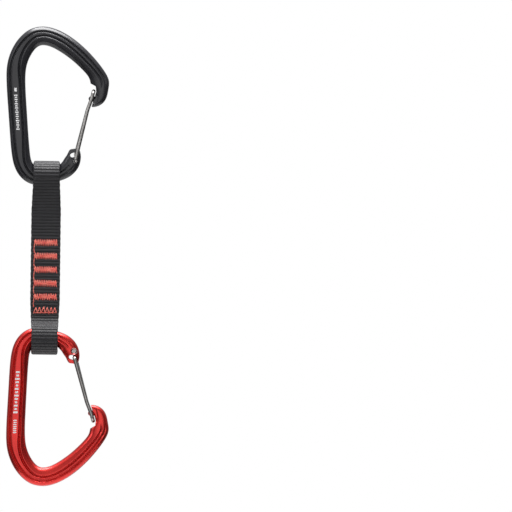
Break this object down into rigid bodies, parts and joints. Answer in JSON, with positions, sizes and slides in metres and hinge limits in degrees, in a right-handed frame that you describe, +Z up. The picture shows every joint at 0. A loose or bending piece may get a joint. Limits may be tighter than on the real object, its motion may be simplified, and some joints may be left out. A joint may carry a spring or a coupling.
{
  "type": "climbing quickdraw",
  "caption": "Climbing quickdraw: a black and a red wiregate carabiner joined by a sewn black webbing sling with red bar tacks.",
  "frame": {"origin": "inner apex of the upper carabiner's top basket, where a bolt hanger bears, in the middle of its thickness", "axes": "+Z up along the hanging draw, +X from the spine to the gate, +Y through the thickness away from the front"},
  "size_m": [0.0633, 0.0208, 0.2817],
  "materials": {
    "black_anodised": "satin black anodised forging",
    "red_anodised": "satin red anodised forging",
    "gate_steel": "drawn stainless wire",
    "webbing": "ribbed woven nylon",
    "tack_thread": "bonded nylon thread",
    "keeper_rubber": "matt moulded rubber"
  },
  "bodies": {
    "upper_carabiner": {"upper_frame": "black_anodised"},
    "upper_gate": {"upper_gate_wire": "gate_steel"},
    "sling_loop": {"webbing_top_loop": "webbing"},
    "sling": {"webbing_strip": "webbing", "webbing_back_ply": "webbing", "keeper_insert": "keeper_rubber", "tack_1_needle_thread": "tack_thread", "tack_2_needle_thread": "tack_thread", "tack_3_needle_thread": "tack_thread", "tack_4_needle_thread": "tack_thread", "tack_5_needle_thread": "tack_thread", "tack_6_needle_thread": "tack_thread", "tack_1_bobbin_thread": "tack_thread", "tack_2_bobbin_thread": "tack_thread", "tack_3_bobbin_thread": "tack_thread", "tack_4_bobbin_thread": "tack_thread", "tack_5_bobbin_thread": "tack_thread", "tack_6_bobbin_thread": "tack_thread"},
    "lower_carabiner": {"lower_frame": "red_anodised"},
    "lower_gate": {"lower_gate_wire": "gate_steel"}
  },
  "joints": [
    {"name": "upper_gate_hinge", "type": "hinge", "parent": "upper_carabiner", "child": "upper_gate", "pos_m": [0.01975, 0, -0.0709], "axis": [0, -1, 0], "range_deg": [0, 30], "stiffness_Nm_per_rad": 0.08, "springref_deg": -20.05},
    {"name": "sling_swing", "type": "hinge", "parent": "upper_carabiner", "child": "sling_loop", "pos_m": [0.0022, 0, -0.0794], "axis": [1, 0, 0], "range_deg": [-110, 110]},
    {"name": "sling_twist", "type": "hinge", "parent": "sling_loop", "child": "sling", "pos_m": [0.00171, 0, -0.117], "axis": [0.013, 0, 0.9999], "range_deg": [-90, 90]},
    {"name": "lower_swing", "type": "hinge", "parent": "sling", "child": "lower_carabiner", "pos_m": [0.0009, 0, -0.1793], "axis": [1, 0, 0], "range_deg": [-90, 90]},
    {"name": "lower_gate_hinge", "type": "hinge", "parent": "lower_carabiner", "child": "lower_gate", "pos_m": [0.01893, 0, -0.18758], "axis": [0, 1, 0], "range_deg": [0, 30], "stiffness_Nm_per_rad": 0.08, "springref_deg": -20.05}
  ]
}
